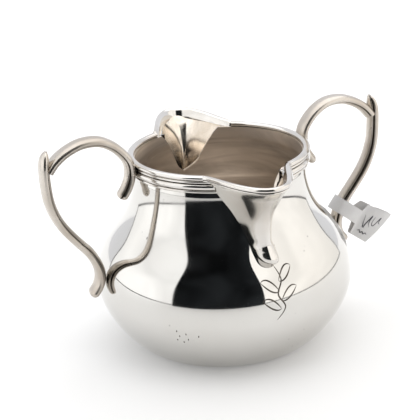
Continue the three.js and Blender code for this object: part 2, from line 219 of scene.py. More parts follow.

# The two light panels: (name, azimuths in degrees, azimuths of the dark post at the far edge,
# colour, strength). A dark strip along the foot of each is painted shadow for the shaded gap there.
PANELS = [("left", (128, 203), (126.8, 128), WHITE, 1.5),
          ("right", (-82, 10), (10, 11.2), (1, 0.975, 0.94), 1.45)]
PANEL_DISTANCE = 420
PANEL_FOOT = 8
PANEL_TOP = 760
PANEL_FALL = 0.2

DARK_CARD_AZIMUTHS = (-157, -82.5)
DARK_CARD_DISTANCE = 370
DARK_CARD_TOP = 640
DARK_CARD_COLOR = (0.8, 0.9, 1.0)
DARK_CARD_STRENGTH = 0.03
DARK_CARD_FALL = 0.85

OVERHEAD_HALF = 1500.0
OVERHEAD_HEIGHT = 1500.0
OVERHEAD_STRENGTH = 1.75
ROOM_COLOR = (0.95, 0.96, 1.0, 1)
ROOM_STRENGTH = 0.97

CAMERA_AZIMUTH = math.radians(-23.25)  # round from straight in front, towards the left
CAMERA_ELEVATION = math.radians(21.03)
CAMERA_ROLL = math.radians(-2.94)
CAMERA_AIM = Vector((-4.77, 0, 50.3))
CAMERA_DISTANCE = 424.44
SENSOR_WIDTH = 36
FOCAL_LENGTH = 93.75

# ---- How finely the meshes are drawn ----

SIDE_STEPS = 140
CUT_STEPS = 80
WALL_COLUMNS = 200
SPOUT_ROWS = 110
SPOUT_COLUMNS = 72
RIM_POINTS = 28
REED_POINTS = 13
ROLL_POINTS = 20
BROAD_POINTS = 12
THIN_POINTS = 9
SWEEP_STEPS = 160
LIP_STEPS = 120
DOME_POINTS = 25
KEEL_POINTS = 17
CURVE_STEPS = 1500
EVEN_STEPS = 2000
HANDLE_STEPS = 220
LABEL_STEPS = 200
LABEL_ROWS = 25
STROKE_STEPS = 60
LEAF_STEPS = 24
CARD_COLUMNS = 60
CARD_ROWS = 8
WELD_DISTANCE = 1e-6
SLOPE_STEP = 0.2
LEAST_TAPER = 0.02

# Material slots of a sheet.
OUTSIDE = 0
INSIDE = 1


# ---- Curves ----

def bezier(points, shares):
    """Points of a cubic Bezier curve at the given shares."""
    p0, p1, p2, p3 = (np.asarray(point, float) for point in points)
    t = np.asarray(shares, float)[:, None]
    s = 1 - t
    return s ** 3 * p0 + 3 * s ** 2 * t * p1 + 3 * s * t ** 2 * p2 + t ** 3 * p3


def through(points, shares):
    """Points of a smooth curve through all the given points, at shares counted by point."""
    p = np.asarray(points, float)
    place = np.asarray(shares, float) * (len(p) - 1)
    i = np.minimum(place.astype(int), len(p) - 2)
    t = (place - i)[:, None]
    before, here = p[np.maximum(i - 1, 0)], p[i]
    after, beyond = p[i + 1], p[np.minimum(i + 2, len(p) - 1)]
    leave, arrive = (after - before) / 2, (beyond - here) / 2
    return ((2 * here - 2 * after + leave + arrive) * t ** 3
            + (3 * after - 3 * here - 2 * leave - arrive) * t ** 2 + leave * t + here)


def evenly(points, count):
    """The same line with its points at even spacing."""
    steps = np.linalg.norm(np.diff(points, axis=0), axis=1)
    along = np.concatenate([[0], np.cumsum(steps)])
    wanted = np.linspace(0, along[-1], count)
    return np.stack([np.interp(wanted, along, axis) for axis in points.T], axis=1)


def directions(points):
    """Unit directions along a line of points."""
    along = np.gradient(points, axis=0)
    return along / np.linalg.norm(along, axis=1)[:, None]


def turned(points, angle):
    """Points turned about Z; the angle may be one number or one for each point."""
    x, y, z = np.moveaxis(np.asarray(points, float), -1, 0)
    cos, sin = np.cos(angle), np.sin(angle)
    return np.stack([x * cos - y * sin, x * sin + y * cos, z + 0 * cos], axis=-1)


def body_side():
    """The body's side as (radius, height), from the base's edge to the top of the neck."""
    shares = np.linspace(0, 1, SIDE_STEPS)
    belly = bezier([(BASE_RADIUS, 0), (BASE_RADIUS + BASE_EDGE, 0),
                    (BELLY_RADIUS, BELLY_HEIGHT - FULLNESS_BELOW), (BELLY_RADIUS, BELLY_HEIGHT)], shares)
    neck = bezier([(BELLY_RADIUS, BELLY_HEIGHT), (BELLY_RADIUS, BELLY_HEIGHT + FULLNESS_ABOVE),
                   (NECK_RADIUS, NECK_HEIGHT - NECK_LENGTH), (NECK_RADIUS, NECK_HEIGHT)], shares)
    side = np.concatenate([belly, neck[1:], [[NECK_RADIUS, BODY_TOP]]])
    pinch = np.clip((side[:, 1] - PINCH_BOTTOM) / (BAND_BOTTOM - PINCH_BOTTOM), 0, 1)
    side[:, 0] -= PINCH_DEPTH * pinch
    return side


SIDE = body_side()


def body_radius(height):
    return np.interp(height, SIDE[:, 1], SIDE[:, 0])


# ---- Meshes ----

def grid_faces(rows, columns, start, closed):
    """Quads of a grid whose points are listed row by row, the first one being number start."""
    faces = []
    for row in range(rows - 1):
        for column in range(columns if closed else columns - 1):
            beside = (column + 1) % columns
            a = start + row * columns
            faces.append((a + column, a + beside, a + columns + beside, a + columns + column))
    return faces


class Mesh:
    """Collects grids of points in millimetres, then becomes one Blender object."""

    def __init__(self):
        self.points = []
        self.faces = []
        self.slots = []
        self.values = []

    def add(self, grid, closed=False, slot=0, flip=False, value=0.0):
        """Adds a grid of points, whose last column joins its first where it is closed."""
        grid = np.asarray(grid, float)
        rows, columns = grid.shape[:2]
        start = len(self.points)
        self.points.extend(grid.reshape(-1, 3))
        self.values.extend(np.broadcast_to(value, (rows, columns)).reshape(-1))
        faces = grid_faces(rows, columns, start, closed)
        if flip:
            faces = [face[::-1] for face in faces]
        self.faces.extend(faces)
        self.slots.extend([slot] * len(faces))

    def cap(self, ring, flip=False):
        """Closes a ring of points with a fan about its middle."""
        middle = np.mean(ring, axis=0)
        self.add(np.stack([ring, np.broadcast_to(middle, ring.shape)]), closed=True, flip=flip)

    def add_bar(self, grid, values=0.0):
        """A closed tube with a cap at each end."""
        self.add(grid, closed=True, value=values)
        self.cap(grid[0], flip=True)
        self.cap(grid[-1])

    def build(self, name, materials, turn=0.0, crease=40.0):
        """The object, turned about Z, with edges sharper than the crease angle left sharp."""
        points = turned(self.points, turn) * MM
        mesh = bpy.data.meshes.new(name)
        mesh.from_pydata(points.tolist(), [], self.faces)
        mesh.polygons.foreach_set("material_index", self.slots)
        # The points' values become an attribute that the silver materials use as painted shade in grooves
        # and hollows.
        painted_shade = mesh.attributes.new("painted_shade", "FLOAT", "POINT")
        painted_shade.data.foreach_set("value", np.asarray(self.values, np.float32))
        piece = bpy.data.objects.new(name, mesh)
        bpy.context.scene.collection.objects.link(piece)
        for material in materials:
            mesh.materials.append(material)
        weld(mesh)
        mesh.shade_smooth()
        mesh.set_sharp_from_angle(angle=math.radians(crease))
        return piece


def weld(mesh):
    """Joins points that fall together and drops empty faces."""
    work = bmesh.new()
    work.from_mesh(mesh)
    bmesh.ops.remove_doubles(work, verts=work.verts, dist=WELD_DISTANCE)
    bmesh.ops.dissolve_degenerate(work, edges=work.edges, dist=WELD_DISTANCE)
    work.to_mesh(mesh)
    work.free()
    mesh.update()


def ribbon(line, normals, width, thickness):
    """A thin closed strip that follows a line over a surface."""
    along = directions(line)
    across = np.cross(normals, along)
    across /= np.linalg.norm(across, axis=1)[:, None]
    share = np.linspace(0, 1, len(line))
    taper = np.sqrt(np.clip(np.sin(share * HALF_TURN), LEAST_TAPER, 1))[:, None]
    corners = [across * width / 2, normals * thickness, -across * width / 2, -normals * thickness]
    return np.stack([line + corner * taper for corner in corners], axis=1)


# ---- Materials ----

SOCKETS = {"base_color": "Base Color", "metallic": "Metallic", "roughness": "Roughness",
           "specular_ior_level": "Specular IOR Level", "emission_color": "Emission Color",
           "emission_strength": "Emission Strength"}


class Look:
    """A Principled material with short calls for the nodes that it needs."""

    def __init__(self, name, **values):
        self.material = bpy.data.materials.new(name)
        self.material.use_nodes = True
        self.tree = self.material.node_tree
        self.shader = self.tree.nodes["Principled BSDF"]
        for socket, value in values.items():
            self.shader.inputs[SOCKETS[socket]].default_value = value
        coordinates = self.tree.nodes.new("ShaderNodeTexCoord")
        self.place = coordinates.outputs["Object"]

    def link(self, source, target):
        self.tree.links.new(source, target)

    def stretched(self, scale):
        mapping = self.tree.nodes.new("ShaderNodeMapping")
        mapping.inputs["Scale"].default_value = scale
        self.link(self.place, mapping.inputs["Vector"])
        return mapping.outputs["Vector"]

    def noise(self, scale, detail=4.0, stretch=(1, 1, 1), distortion=0.0):
        node = self.tree.nodes.new("ShaderNodeTexNoise")
        node.inputs["Scale"].default_value = scale
        node.inputs["Detail"].default_value = detail
        node.inputs["Distortion"].default_value = distortion
        self.link(self.stretched(stretch), node.inputs["Vector"])
        return node.outputs["Fac"]

    def cells(self, scale):
        node = self.tree.nodes.new("ShaderNodeTexVoronoi")
        node.inputs["Scale"].default_value = scale
        self.link(self.place, node.inputs["Vector"])
        return node.outputs["Distance"]

    def attribute(self, name):
        node = self.tree.nodes.new("ShaderNodeAttribute")
        node.attribute_name = name
        return node.outputs["Fac"]

    def ramp(self, source, low, high, start=0.0, end=1.0):
        """A number carried from low..high to start..end, and held at the ends."""
        node = self.tree.nodes.new("ShaderNodeMapRange")
        node.inputs["From Min"].default_value = low
        node.inputs["From Max"].default_value = high
        node.inputs["To Min"].default_value = start
        node.inputs["To Max"].default_value = end
        self.link(source, node.inputs["Value"])
        return node.outputs["Result"]

    def combine(self, operation, first, second):
        node = self.tree.nodes.new("ShaderNodeMath")
        node.operation = operation
        for socket, value in zip(node.inputs, (first, second)):
            if isinstance(value, (int, float)):
                socket.default_value = value
            else:
                self.link(value, socket)
        return node.outputs["Value"]

    def blend(self, share, first, second):
        node = self.tree.nodes.new("ShaderNodeMix")
        node.data_type = "RGBA"
        self.link(share, node.inputs["Factor"])
        for socket, value in ((node.inputs["A"], first), (node.inputs["B"], second)):
            if isinstance(value, tuple):
                socket.default_value = (*value, 1)
            else:
                self.link(value, socket)
        return node.outputs["Result"]

    def bumps(self, *layers):
        """Bump layers of (height, strength, depth in millimetres), one on top of the other."""
        below = None
        for height, strength, depth in layers:
            node = self.tree.nodes.new("ShaderNodeBump")
            node.inputs["Strength"].default_value = strength
            node.inputs["Distance"].default_value = depth * MM
            self.link(height, node.inputs["Height"])
            if below is not None:
                self.link(below, node.inputs["Normal"])
            below = node.outputs["Normal"]
        self.link(below, self.shader.inputs["Normal"])

    def color(self, source):
        self.link(source, self.shader.inputs["Base Color"])

    def roughness(self, source):
        self.link(source, self.shader.inputs["Roughness"])


# Colours as linear red, green and blue.
BRIGHT_SILVER = (0.70, 0.69, 0.665)
CLOUDED_SILVER = (0.66, 0.645, 0.615)
PIT_BROWN = (0.2, 0.18, 0.16)
DARK_TARNISH = (0.58, 0.52, 0.46)
PALE_TARNISH = (0.95, 0.87, 0.78)
MID_TARNISH = (0.78, 0.7, 0.62)
PALE_CAST = (0.62, 0.575, 0.52)
WARM_CAST = (0.5, 0.445, 0.385)
# Painted shade for the handles' grooves and the keel's edges.
CAST_GROOVE_SHADE = (0.13, 0.11, 0.09)
PALE_LIP = (0.72, 0.7, 0.67)
WARM_LIP = (0.64, 0.6, 0.55)
# Painted shade for the grooves of the lip wires and the band.
LIP_GROOVE_SHADE = (0.07, 0.055, 0.045)
PALE_STAIN = (0.86, 0.79, 0.7)
WARM_STAIN = (0.66, 0.58, 0.49)
# Painted shade deep inside the lips.
DEPTH_SHADE = (0.2, 0.16, 0.13)
DARK_LINE = (0.05, 0.045, 0.04)
WORN_LINE = (0.16, 0.14, 0.12)
PALE_PAPER = (0.66, 0.655, 0.65)
GREY_PAPER = (0.6, 0.595, 0.6)
PAPER_FIBRE = (0.5, 0.49, 0.48)
DARK_INK = (0.025, 0.025, 0.035)
WORN_INK = (0.09, 0.09, 0.11)


def polished_silver():
    """Nearly a mirror, with faint clouds, upright scratches and a few groups of dark pits."""
    look = Look("polished_silver", metallic=1.0)
    clouds = look.noise(28, detail=3)
    scratches = look.noise(900, detail=2, stretch=(1, 1, 0.04))
    pit_size = look.ramp(look.cells(420), 0.08, 0.16, start=1, end=0)
    pit_groups = look.ramp(look.noise(60, detail=2), 0.58, 0.66)
    pitted = look.combine("MULTIPLY", pit_size, pit_groups)
    silver = look.blend(look.ramp(clouds, 0.35, 0.7), BRIGHT_SILVER, CLOUDED_SILVER)
    look.color(look.blend(look.combine("MULTIPLY", pitted, 0.6), silver, PIT_BROWN))
    look.roughness(look.ramp(look.noise(55), 0.3, 0.75, start=0.035, end=0.1))
    look.bumps((clouds, 0.25, 0.12), (scratches, 0.05, 0.02))
    return look.material


def tarnished_silver():
    """The brown inside of the body, dull and streaked round it."""
    look = Look("tarnished_silver", metallic=1.0)
    streaks = look.noise(75, detail=5, stretch=(0.4, 0.4, 2.0), distortion=0.9)
    blotches = look.noise(22, distortion=0.6)
    streaked = look.blend(look.ramp(streaks, 0.38, 0.64), DARK_TARNISH, PALE_TARNISH)
    look.color(look.blend(look.ramp(blotches, 0.4, 0.65), streaked, MID_TARNISH))
    look.roughness(look.ramp(streaks, 0.3, 0.7, start=0.5, end=0.36))
    look.bumps((streaks, 0.2, 0.15))
    return look.material


def cast_silver():
    """The warm, duller silver of the handles, darkened with painted shade in their grooves."""
    look = Look("cast_silver", metallic=1.0)
    clouds = look.noise(70, detail=5, distortion=0.4)
    warm = look.blend(look.ramp(clouds, 0.35, 0.7), PALE_CAST, WARM_CAST)
    uneven = look.ramp(clouds, 0.3, 0.7, start=-0.12, end=0.12)
    # Painted shade: the points' values darken the grooves and the keel's edges, a little unevenly.
    shaded_grooves = look.combine("ADD", look.attribute("painted_shade"), uneven)
    look.color(look.blend(look.ramp(shaded_grooves, 0.2, 1.0), warm, CAST_GROOVE_SHADE))
    look.roughness(look.ramp(clouds, 0.3, 0.75, start=0.22, end=0.38))
    look.bumps((clouds, 0.3, 0.15), (look.noise(600, detail=2), 0.08, 0.02))
    return look.material


def lip_silver():
    """The silver of the lips, rim and band, darkened with painted shade in their grooves."""
    look = Look("lip_silver", metallic=1.0)
    clouds = look.noise(60)
    silver = look.blend(look.ramp(clouds, 0.4, 0.7), PALE_LIP, WARM_LIP)
    look.color(look.blend(look.ramp(look.attribute("painted_shade"), 0.3, 1.0), silver, LIP_GROOVE_SHADE))
    look.roughness(look.ramp(clouds, 0.3, 0.75, start=0.08, end=0.2))
    look.bumps((clouds, 0.25, 0.1))
    return look.material


def stained_and_shaded_silver():
    """The cream inside of the lips, with painted shade making it brown in their depth."""
    look = Look("stained_and_shaded_silver", metallic=1.0)
    clouds = look.noise(55, detail=5, stretch=(1, 1, 0.7), distortion=1.2)
    cream = look.blend(look.ramp(clouds, 0.38, 0.62), PALE_STAIN, WARM_STAIN)
    uneven = look.ramp(look.noise(90), 0.3, 0.7, start=-0.2, end=0.2)
    # Painted shade: the inside turns dark brown towards the foot of the channel, a little unevenly.
    depth = look.combine("ADD", look.attribute("painted_shade"), uneven)
    look.color(look.blend(look.ramp(depth, 0.22, 0.5), cream, DEPTH_SHADE))
    look.roughness(look.ramp(clouds, 0.3, 0.75, start=0.12, end=0.3))
    look.bumps((clouds, 0.3, 0.2))
    return look.material


def engraved_line():
    look = Look("engraved_line", metallic=1.0)
    clouds = look.noise(300, detail=3)
    look.color(look.blend(look.ramp(clouds, 0.3, 0.7), DARK_LINE, WORN_LINE))
    look.roughness(look.ramp(clouds, 0.3, 0.7, start=0.3, end=0.5))
    return look.material


def label_paper():
    look = Look("label_paper", roughness=0.85)
    fibres = look.noise(900, stretch=(1, 0.3, 1))
    shade = look.blend(look.ramp(look.noise(90, detail=3), 0.3, 0.7), PALE_PAPER, GREY_PAPER)
    look.color(look.blend(look.ramp(fibres, 0.6, 0.8, start=0, end=0.3), shade, PAPER_FIBRE))
    look.bumps((fibres, 0.3, 0.04))
    return look.material


def pen_ink():
    look = Look("pen_ink", roughness=0.5)
    clouds = look.noise(700, detail=3)
    look.color(look.blend(look.ramp(clouds, 0.35, 0.7), DARK_INK, WORN_INK))
    return look.material


SILVER = polished_silver()
TARNISH = tarnished_silver()
CAST = cast_silver()
LIP = lip_silver()
STAIN_AND_SHADE = stained_and_shaded_silver()
ENGRAVED = engraved_line()
PAPER = label_paper()
INK = pen_ink()


# ---- Body ----

def cut_angle(edge, height):
    """Angle from straight ahead of an edge of the front lip's V cut, at each height."""
    line = through([CUT_POINT] + edge, np.linspace(0, 1, CUT_STEPS))
    across = np.interp(height, line[:, 1], line[:, 0])
    return np.arcsin(across / (body_radius(height) - WALL / 2))


def wall_grid(profile, side):
    """One half of the wall, from the front cut round to the back cut."""
    radius, height = profile[:, 0, None], profile[:, 1, None]
    near, far = (CUT_RIGHT, CUT_LEFT) if side > 0 else (CUT_LEFT, CUT_RIGHT)
    start = cut_angle(near, height)
    end = side * HALF_TURN + cut_angle(far, height)
    angle = FRONT + start + np.linspace(0, 1, WALL_COLUMNS) * (end - start)
    return np.stack([radius * np.cos(angle), radius * np.sin(angle), height + 0 * angle], axis=-1)


def offset_profile(profile, distance):
    """A line of (radius, height) moved outwards by a distance."""
    along = directions(profile)
    return profile + distance * np.stack([along[:, 1], -along[:, 0]], axis=1)


def add_wall_half(mesh, outside, inside, apex, left):
    """Half of the body: its outside, inside, top edge, the edges of the cuts, and its flat base."""
    side = -1 if left else 1
    outer = wall_grid(outside, side)
    inner = wall_grid(inside, side)
    mesh.add(outer, flip=left)
    mesh.add(inner, slot=INSIDE, flip=not left)
    mesh.add(np.stack([outer[-1], inner[-1]]), slot=INSIDE, flip=left)
    for end in (0, -1):
        mesh.add(np.stack([outer[apex:, end], inner[apex:, end]]), slot=INSIDE, flip=left == (end == 0))
    for ring, slot, down in ((outer[0], OUTSIDE, True), (inner[0], INSIDE, False)):
        middle = np.broadcast_to((0, 0, ring[0, 2]), ring.shape)
        rings = [ring + (middle - ring) * share for share in FLAT_RINGS]
        mesh.add(np.stack(rings), slot=slot, flip=left != down)


def build_body():
    apex = np.searchsorted(SIDE[:, 1], CUT_POINT[1])
    outside = np.insert(SIDE, apex, (body_radius(CUT_POINT[1]), CUT_POINT[1]), axis=0)
    inside = offset_profile(outside, -WALL)
    inside[:, 1] = np.maximum(inside[:, 1], WALL)
    mesh = Mesh()
    for left in (True, False):
        add_wall_half(mesh, outside, inside, apex, left)
    piece = mesh.build("spun_body", [SILVER, TARNISH], crease=50)
    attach(piece, "vessel")
    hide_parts("bowl_body")


# ---- Spouts ----

def spout_grid(inset):
    """The raised sheet of the front lip: each row runs from seam to seam over the ridge."""
    share = np.linspace(0, 1, SPOUT_ROWS)[:, None]
    height, half_width, ridge, power = (axis[:, None] for axis in through(SPOUT_LINE, share[:, 0]).T)
    half_width = np.maximum(half_width - inset, LEAST_HALF_WIDTH)
    seam_radius = np.sqrt(body_radius(height) ** 2 - half_width ** 2)
    angle = np.linspace(0, HALF_TURN, SPOUT_COLUMNS)[None, :]
    swell = np.sin(angle) ** power
    front = np.maximum(ridge - inset, seam_radius)
    outwards = seam_radius + swell * (front - seam_radius)
    rise = LIP_RISE * np.sin(angle) * share ** RISE_POWER
    grid = np.stack([-half_width * np.cos(angle), -outwards, height + rise], axis=-1)
    return turned(grid, -LIP_TWIST * np.sin(share * QUARTER_TURN))


def build_spout(name, node, turn):
    outer = spout_grid(0)
    inner = spout_grid(SPOUT_SHEET)
    # Painted shade on the inner sheet: darkest at its foot, none at its top.
    depth = np.linspace(1, 0, len(inner))[:, None]
    mesh = Mesh()
    mesh.add(outer)
    mesh.add(inner, flip=True, slot=INSIDE, value=depth)
    mesh.add(np.stack([outer[-1], inner[-1]]))
    piece = mesh.build(name, [LIP, STAIN_AND_SHADE], turn, crease=60)
    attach(piece, "vessel")
    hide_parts(node)


# ---- Wires and bands ----

def bead(half_width, half_height, centre, start, end, count):
    """Part of an oval, as (outwards, height)."""
    angle = np.linspace(start, end, count)
    out = centre[0] + half_width * np.cos(angle)
    return np.stack([out, centre[1] + half_height * np.sin(angle)], axis=1)


def sweep_round(outline, from_angle, to_angle):
    """Carries a closed outline of (radius, height) round the axis."""
    angle = np.linspace(from_angle, to_angle, SWEEP_STEPS)[:, None]
    radius, height = outline[None, :, 0], outline[None, :, 1]
    return np.stack([radius * np.cos(angle), radius * np.sin(angle), height + 0 * angle], axis=-1)


LEFT_START = QUARTER_TURN - LIP_TWIST + LIP_REACH
LEFT_END = LEFT_START + HALF_TURN - 2 * LIP_REACH


def build_rim(side, turn):
    half_width = (RIM_OUTER - RIM_INNER) / 2
    half_height = (RIM_TOP - BODY_TOP) / 2
    centre = (RIM_MIDDLE, BODY_TOP + half_height)
    oval = bead(half_width, half_height, centre, -HALF_TURN, HALF_TURN, RIM_POINTS)[:-1]
    mesh = Mesh()
    mesh.add_bar(sweep_round(oval, LEFT_START, LEFT_END))
    piece = mesh.build(f"{side}_rim_bead", [LIP], turn)
    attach(piece, "vessel")
    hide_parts(f"rim_wire_{side}")


def band_outline():
    """One broad reed between two narrow ones, with a groove darkened by painted shade on each side of it.
    """
    inner = NECK_RADIUS - BAND_SINK
    span = BODY_TOP - BAND_BOTTOM
    points = [(inner, BAND_BOTTOM)]
    # Each point's painted shade: full at the band's edges against the neck and in the grooves beside the
    # reeds.
    values = [1.0]
    for low, high, depth in REEDS:
        bottom = BAND_BOTTOM + low * span
        top = BAND_BOTTOM + high * span
        for angle in np.linspace(-QUARTER_TURN, QUARTER_TURN, REED_POINTS):
            out = NECK_RADIUS + depth * max(math.cos(angle), 0) ** REED_POWER
            points.append((out, (bottom + top) / 2 + (top - bottom) / 2 * math.sin(angle)))
            values.append(1.0 - min(1.0, math.cos(angle) * GROOVE_SPREAD))
    points.append((inner, BODY_TOP))
    values.append(1.0)
    return np.array(points), np.array(values)


def build_band(side, turn):
    outline, values = band_outline()
    more = LIP_REACH - BAND_REACH
    mesh = Mesh()
    mesh.add(sweep_round(outline, LEFT_START - more, LEFT_END + more), closed=True, value=values[None, :])
    piece = mesh.build(f"{side}_reeding", [LIP], turn, crease=50)
    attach(piece, "vessel")
    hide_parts(f"reeded_band_{side}")


def lip_line():
    """The mouth's line at the front lip: it leaves the round along its tangent."""
    start = np.array([RIM_MIDDLE * math.sin(LIP_REACH), -RIM_MIDDLE * math.cos(LIP_REACH), 0])
    shoulder = start + LIP_SHOULDER * np.array([-math.cos(LIP_REACH), -math.sin(LIP_REACH), 0])
    beside_tip = np.array([LIP_HALF_WIDTH * LIP_FULLNESS, -SPOUT_TIP_RADIUS, LIP_RISE])
    tip = np.array([0, -SPOUT_TIP_RADIUS, LIP_RISE])
    half = bezier([start, shoulder, beside_tip, tip], np.linspace(0, 1, LIP_STEPS))
    other = half[::-1][1:] * (-1, 1, 1)
    return evenly(np.concatenate([half, other]), 2 * LIP_STEPS)


def lip_outline():
    """The rolled lip as (outwards, height): it rises smoothly out of the sheet's inside, turns
    over in a broad bead, and has a thinner bead below it with a groove darkened by painted shade between
    them."""
    roll = through(LIP_ROLL, np.linspace(0, 1, ROLL_POINTS))
    broad = bead(*BROAD_BEAD, BROAD_POINTS)[1:]
    thin = bead(*THIN_BEAD, THIN_POINTS)
    outline = np.concatenate([roll, broad, thin, LIP_UNDERSIDE])
    groove = len(roll) + len(broad)
    # Painted shade darkens the groove between the two beads.
    values = np.zeros(len(outline))
    values[groove - 1:groove + 1] = 1.0
    return outline, values


def build_lip_wire(name, node, turn):
    line = lip_line()
    outline, values = lip_outline()
    outwards = np.cross(UP, directions(line * (1, 1, 0)))
    middle = np.sin(np.linspace(0, HALF_TURN, len(line)))[:, None]
    swell = 1 + LIP_SWELL * middle ** SWELL_POWER
    spread = middle ** SPREAD_POWER
    out, up = outline[None, :, 0], outline[None, :, 1]
    out = out * swell * np.where(out < 0, 1 - END_INSET + END_INSET * spread, 1)
    up = up * np.where(up < 0, spread, swell)
    grid = line[:, None, :] + outwards[:, None, :] * out[..., None] + UP * (BODY_TOP + up)[..., None]
    mesh = Mesh()
    mesh.add_bar(grid, values[None, :])
    piece = mesh.build(name, [LIP], turn - LIP_TWIST, crease=50)
    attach(piece, "vessel")
    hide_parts(node)


# ---- Handles ----

def handle_section():
    """Section as (across, outwards): a broad dome, a groove on each side, and a keel inside. The
    second list says how much painted shade darkens each point."""
    angle = np.linspace(0, HALF_TURN, DOME_POINTS)
    across = HANDLE_HALF_WIDTH * np.sign(np.cos(angle)) * np.abs(np.cos(angle)) ** DOME_POWER
    dome = np.stack([across, HANDLE_HALF_THICKNESS * np.sin(angle) ** DOME_POWER], axis=1)
    left_groove = [(-x, y) for x, y in GROOVE]
    keel = bead(KEEL_HALF_WIDTH, KEEL_HALF_HEIGHT, (0, -KEEL_SINK), HALF_TURN, 2 * HALF_TURN, KEEL_POINTS)
    section = np.concatenate([dome, left_groove, keel, GROOVE[::-1]])
    clear_keel = [0.0] * (KEEL_POINTS - 2 * len(HANDLE_KEEL_SHADE))
    groove_to_keel = HANDLE_GROOVE_SHADE + HANDLE_KEEL_SHADE
    return section, np.array([0.0] * DOME_POINTS + groove_to_keel + clear_keel + groove_to_keel[::-1])


def rounded_end(distance, length, least):
    """Size of a piece at a distance from an end that is rounded over the given length."""
    inside = np.clip(1 - distance / length, 0, 1)
    return np.maximum(least, np.sqrt(1 - inside ** 2))


def arch_size(share):
    return rounded_end(share, *ARCH_TIP)


def strap_size(share):
    return rounded_end(share, *STRAP_LEAF) * rounded_end(1 - share, *STRAP_FOOT)


def handle_grid(points, size_at):
    """The section carried along a line of (x, height), with finer steps towards its ends."""
    line = evenly(through(points, np.linspace(0, 1, CURVE_STEPS)), EVEN_STEPS)
    even = np.linspace(0, 1, HANDLE_STEPS)
    share = ((1 - np.cos(even * HALF_TURN)) / 2 + even) / 2
    centre = np.stack([np.interp(share, np.linspace(0, 1, EVEN_STEPS), axis) for axis in line.T], axis=1)
    along = directions(centre)
    section, values = handle_section()
    size = size_at(share)[:, None]
    across, out = section[None, :, 0] * size, section[None, :, 1] * size
    grid = np.stack([centre[:, 0, None] - along[:, 1, None] * out, across,
                     centre[:, 1, None] + along[:, 0, None] * out], axis=-1)
    return grid, values


def build_handle_piece(name, node, points, size_at, turn):
    grid, values = handle_grid(points, size_at)
    mesh = Mesh()
    mesh.add_bar(grid, values[None, :])
    piece = mesh.build(name, [CAST], turn, crease=55)
    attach(piece, "vessel")
    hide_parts(node)


# ---- Label ----

def on_label(points):
    """Carries (along the flag, across, up the strap) to the label's place on the right handle."""
    p = np.asarray(points, float)
    cos, sin = math.cos(LABEL_SLOPE), math.sin(LABEL_SLOPE)
    x, y, z = p[..., 0], p[..., 1], p[..., 2]
    return np.stack([x * cos + z * sin, y, z * cos - x * sin], axis=-1) + LABEL_PIVOT


def edge_reach(edge, along):
    return np.interp(along, *np.transpose(edge))


def flag_curl(along, height):
    return CURL * np.maximum(along - CURL_START, 0) * (height - CURL_MIDDLE)


def paper_sheets():
    """The paper's two faces, as grids that run round the label and from its lower edge up."""
    line = through(FLAG_FRONT + LABEL_LOOP + FLAG_BACK, np.linspace(0, 1, LABEL_STEPS))
    behind = line[:, 1] > 0
    low = edge_reach(LOWER_EDGE, line[:, 0])
    high = edge_reach(UPPER_EDGE, line[:, 0] + np.where(behind, BACK_SHIFT, 0.0))
    height = low[:, None] + np.linspace(0, 1, LABEL_ROWS)[None, :] * (high - low)[:, None]
    curl = flag_curl(line[:, 0, None], height) * np.where(behind, BACK_CURL, 1.0)[:, None]
    along = directions(line)
    sheets = []
    for offset in (-LABEL_THICKNESS / 2, LABEL_THICKNESS / 2):
        x = line[:, 0, None] - along[:, 1, None] * offset + 0 * height
        y = line[:, 1, None] + along[:, 0, None] * offset + curl
        sheets.append(on_label(np.stack([x, y, height], axis=-1)))
    return sheets


def build_label():
    inner, outer = paper_sheets()
    mesh = Mesh()
    mesh.add(inner, flip=True)
    mesh.add(outer)
    for edge in (0, -1):
        mesh.add(np.stack([inner[:, edge], outer[:, edge]]), flip=edge == 0)
        mesh.add(np.stack([inner[edge], outer[edge]]), flip=edge == -1)
    piece = mesh.build("folded_paper_label", [PAPER], crease=60)
    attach(piece, "label")
    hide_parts("price_label")


def build_pen_strokes():
    mesh = Mesh()
    flag = FLAG_FRONT[::-1]
    for stroke in PEN_STROKES:
        along, height = through(stroke, np.linspace(0, 1, STROKE_STEPS)).T
        out = edge_reach(flag, along) + flag_curl(along, height) - LABEL_THICKNESS
        line = np.stack([along, out, height], axis=-1)
        facing = np.broadcast_to((0.0, -1.0, 0.0), line.shape)
        mesh.add(on_label(ribbon(line, facing, PEN_WIDTH, PEN_DEPTH)), closed=True)
    piece = mesh.build("label_pen_strokes", [INK])
    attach(piece, "label")


# ---- Ornament ----

def belly_place(around, height):
    """A point on the belly at a distance round from the front and at a height, with its normal."""
    radius = body_radius(height)
    slope = (body_radius(height + SLOPE_STEP) - body_radius(height - SLOPE_STEP)) / (2 * SLOPE_STEP)
    angle = FRONT + around / BELLY_RADIUS
    point = np.stack([radius * np.cos(angle), radius * np.sin(angle), height], axis=-1)
    normal = np.stack([np.cos(angle), np.sin(angle), -slope], axis=-1)
    return point, normal / np.linalg.norm(normal, axis=-1)[..., None]


def add_engraving(mesh, line, width):
    point, normal = belly_place(line[:, 0], line[:, 1])
    mesh.add(ribbon(point, normal, width, ENGRAVING_DEPTH), closed=True)


def leaf_line(side, root_height, bow):
    """One edge of a leaf, from its root on the stem to its tip."""
    root = np.array([SPRIG_ROOT * side, root_height])
    tip = root + (LEAF_LENGTH * side, LEAF_RISE)
    leave = root + (ROOT_PULL * side, bow)
    arrive = tip + (-TIP_PULL * side, bow - LEAF_DROOP)
    return bezier([root, leave, arrive, tip], np.linspace(0, 1, LEAF_STEPS))


